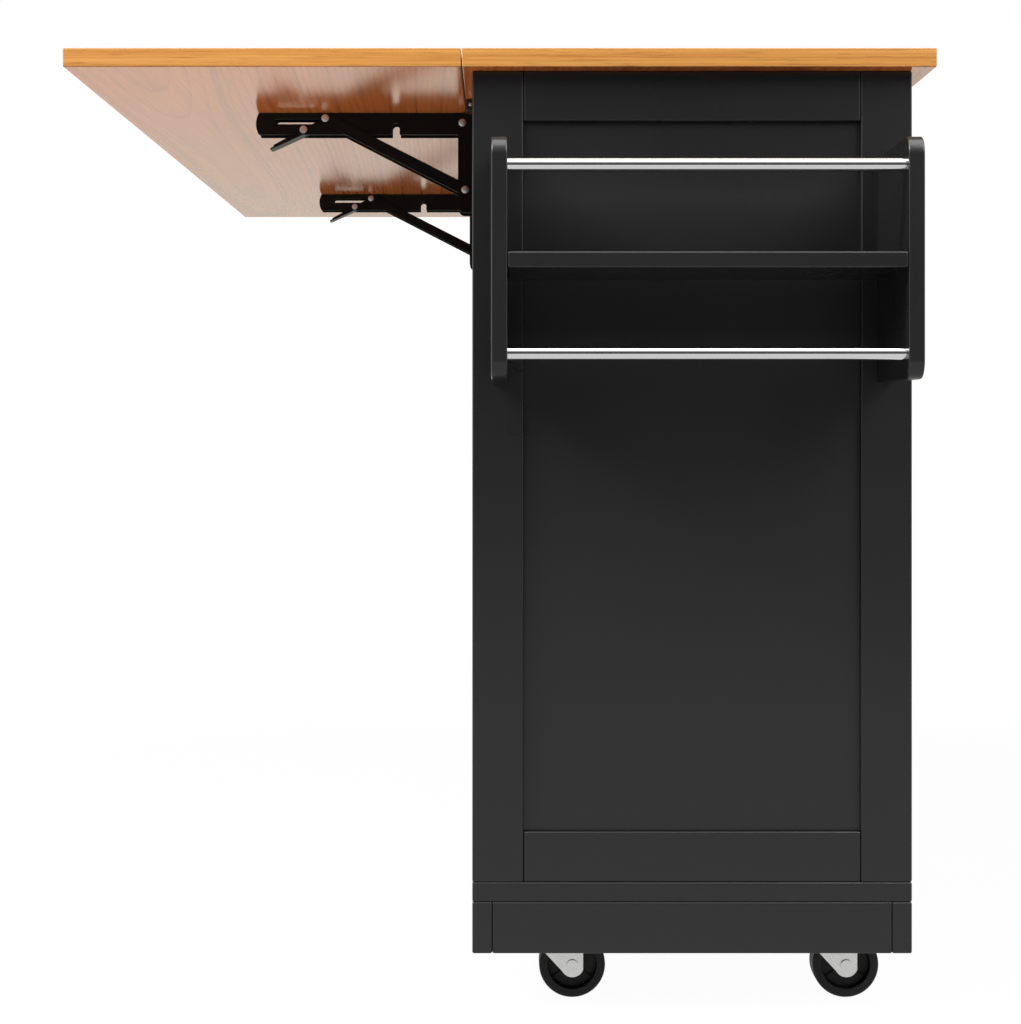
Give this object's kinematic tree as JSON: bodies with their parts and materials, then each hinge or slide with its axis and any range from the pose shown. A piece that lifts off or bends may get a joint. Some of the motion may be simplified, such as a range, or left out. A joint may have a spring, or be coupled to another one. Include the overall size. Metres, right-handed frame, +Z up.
{
  "type": "drop leaf kitchen island",
  "caption": "Rolling kitchen island: a cabinet with doors and drawers, a wood top with a folding drop leaf on lever brackets, and a towel and spice rack on one end.",
  "frame": {"origin": "on the floor under the middle of the whole object with its leaf raised", "axes": "+Z up, +X toward the doors and drawers, the leaf toward -X, the rack on the -Y end, Y along the length"},
  "size_m": [0.83, 1.47, 0.925],
  "materials": {
    "body_black": "satin black lacquer on board",
    "panel_black": "satin black lacquer on board",
    "inside_black": "satin black foil on board",
    "oak_top": "honey oiled wood with fine long grain",
    "bracket_black": "black powder coat",
    "lever_steel": "black coat worn to grey underneath",
    "zinc": "bright zinc plate",
    "rail_chrome": "polished chrome",
    "knob_nickel": "satin nickel",
    "drawer_wood": "clear lacquered wood",
    "block_wood": "raw wood",
    "fixing_plastic": "moulded black plastic",
    "wheel_black": "moulded black plastic"
  },
  "bodies": {
    "root": {"worktop": "oak_top", "near_end_frame": "body_black", "near_end_panel": "panel_black", "far_end_frame": "body_black", "far_end_panel": "panel_black", "back_frame": "body_black", "back_panels": "panel_black", "bottom_board": "body_black", "plinth_long_boards": "body_black", "plinth_end_boards": "body_black", "partition": "inside_black", "front_rails": "body_black", "shelves": "inside_black", "shelf_pins": "zinc", "door_pivots": "zinc", "drawer_runners": "zinc", "top_fixing_blocks": "fixing_plastic", "rack_sides": "body_black", "rack_shelf": "body_black", "towel_rails": "rail_chrome", "wall_arms": "bracket_black", "bracket_pins": "zinc", "caster_blocks": "block_wood", "caster_plates": "zinc"},
    "leaf": {"leaf_board": "oak_top", "support_arms": "bracket_black", "lever_pins": "zinc"},
    "near_brace": {"near_brace": "bracket_black", "near_brace_rivets": "zinc"},
    "far_brace": {"far_brace": "bracket_black", "far_brace_rivets": "zinc"},
    "near_lever": {"near_lever": "lever_steel"},
    "far_lever": {"far_lever": "lever_steel"},
    "door_1": {"door_frame_1": "body_black", "door_panel_1": "panel_black", "door_knob_1": "knob_nickel"},
    "door_2": {"door_frame_2": "body_black", "door_panel_2": "panel_black", "door_knob_2": "knob_nickel"},
    "door_3": {"door_frame_3": "body_black", "door_panel_3": "panel_black", "door_knob_3": "knob_nickel"},
    "door_4": {"door_frame_4": "body_black", "door_panel_4": "panel_black", "door_knob_4": "knob_nickel"},
    "drawer_1": {"drawer_front_1": "body_black", "drawer_box_1": "drawer_wood", "drawer_knob_1": "knob_nickel"},
    "drawer_2": {"drawer_front_2": "body_black", "drawer_box_2": "drawer_wood", "drawer_knob_2": "knob_nickel"},
    "fork_1": {"caster_fork_1": "zinc"},
    "wheel_1": {"caster_wheel_1": "wheel_black"},
    "fork_2": {"caster_fork_2": "zinc"},
    "wheel_2": {"caster_wheel_2": "wheel_black"},
    "fork_3": {"caster_fork_3": "zinc"},
    "wheel_3": {"caster_wheel_3": "wheel_black"},
    "fork_4": {"caster_fork_4": "zinc"},
    "wheel_4": {"caster_wheel_4": "wheel_black"}
  },
  "joints": [
    {"name": "leaf_fold", "type": "hinge", "parent": "root", "child": "leaf", "pos_m": [-0.0411, 0.065, 0.8956], "axis": [0, -1, 0], "range_deg": [0, 90]},
    {"name": "near_brace_fold", "type": "hinge", "parent": "root", "child": "near_brace", "pos_m": [-0.038, -0.316, 0.823], "axis": [0, -1, 0], "range_deg": [0, 117.6]},
    {"name": "near_lever_fold", "type": "hinge", "parent": "leaf", "child": "near_lever", "pos_m": [-0.214, -0.316, 0.889], "axis": [0, -1, 0], "range_deg": [-25, 0]},
    {"name": "far_brace_fold", "type": "hinge", "parent": "root", "child": "far_brace", "pos_m": [-0.038, 0.434, 0.823], "axis": [0, -1, 0], "range_deg": [0, 117.6]},
    {"name": "far_lever_fold", "type": "hinge", "parent": "leaf", "child": "far_lever", "pos_m": [-0.214, 0.434, 0.889], "axis": [0, -1, 0], "range_deg": [-25, 0]},
    {"name": "door_1_hinge", "type": "hinge", "parent": "root", "child": "door_1", "pos_m": [0.3915, -0.561, 0.42], "axis": [0, 0, -1], "range_deg": [0, 105]},
    {"name": "door_2_hinge", "type": "hinge", "parent": "root", "child": "door_2", "pos_m": [0.3915, 0.05, 0.42], "axis": [0, 0, 1], "range_deg": [0, 85]},
    {"name": "door_3_hinge", "type": "hinge", "parent": "root", "child": "door_3", "pos_m": [0.3915, 0.08, 0.42], "axis": [0, 0, -1], "range_deg": [0, 85]},
    {"name": "door_4_hinge", "type": "hinge", "parent": "root", "child": "door_4", "pos_m": [0.3915, 0.691, 0.42], "axis": [0, 0, 1], "range_deg": [0, 105]},
    {"name": "drawer_1_slide", "type": "slide", "parent": "root", "child": "drawer_1", "axis": [1, 0, 0], "range_m": [0, 0.25]},
    {"name": "drawer_2_slide", "type": "slide", "parent": "root", "child": "drawer_2", "axis": [1, 0, 0], "range_m": [0, 0.25]},
    {"name": "fork_1_swivel", "type": "hinge", "parent": "root", "child": "fork_1", "pos_m": [0.049, -0.5095, 0.078], "axis": [0, 0, 1], "continuous": true},
    {"name": "wheel_1_spin", "type": "hinge", "parent": "fork_1", "child": "wheel_1", "pos_m": [0.0715, -0.5095, 0.03275], "axis": [0, 1, 0], "continuous": true},
    {"name": "fork_2_swivel", "type": "hinge", "parent": "root", "child": "fork_2", "pos_m": [0.32, -0.5095, 0.078], "axis": [0, 0, 1], "continuous": true},
    {"name": "wheel_2_spin", "type": "hinge", "parent": "fork_2", "child": "wheel_2", "pos_m": [0.3425, -0.5095, 0.03275], "axis": [0, 1, 0], "continuous": true},
    {"name": "fork_3_swivel", "type": "hinge", "parent": "root", "child": "fork_3", "pos_m": [0.049, 0.6395, 0.078], "axis": [0, 0, 1], "continuous": true},
    {"name": "wheel_3_spin", "type": "hinge", "parent": "fork_3", "child": "wheel_3", "pos_m": [0.0715, 0.6395, 0.03275], "axis": [0, 1, 0], "continuous": true},
    {"name": "fork_4_swivel", "type": "hinge", "parent": "root", "child": "fork_4", "pos_m": [0.32, 0.6395, 0.078], "axis": [0, 0, 1], "continuous": true},
    {"name": "wheel_4_spin", "type": "hinge", "parent": "fork_4", "child": "wheel_4", "pos_m": [0.3425, 0.6395, 0.03275], "axis": [0, 1, 0], "continuous": true}
  ],
  "couplings": [
    {"joint": "near_brace_fold", "follows": "leaf_fold", "ratio": 1.3012},
    {"joint": "near_lever_fold", "follows": "leaf_fold", "ratio": -0.2722},
    {"joint": "far_brace_fold", "follows": "leaf_fold", "ratio": 1.3012},
    {"joint": "far_lever_fold", "follows": "leaf_fold", "ratio": -0.2722}
  ]
}
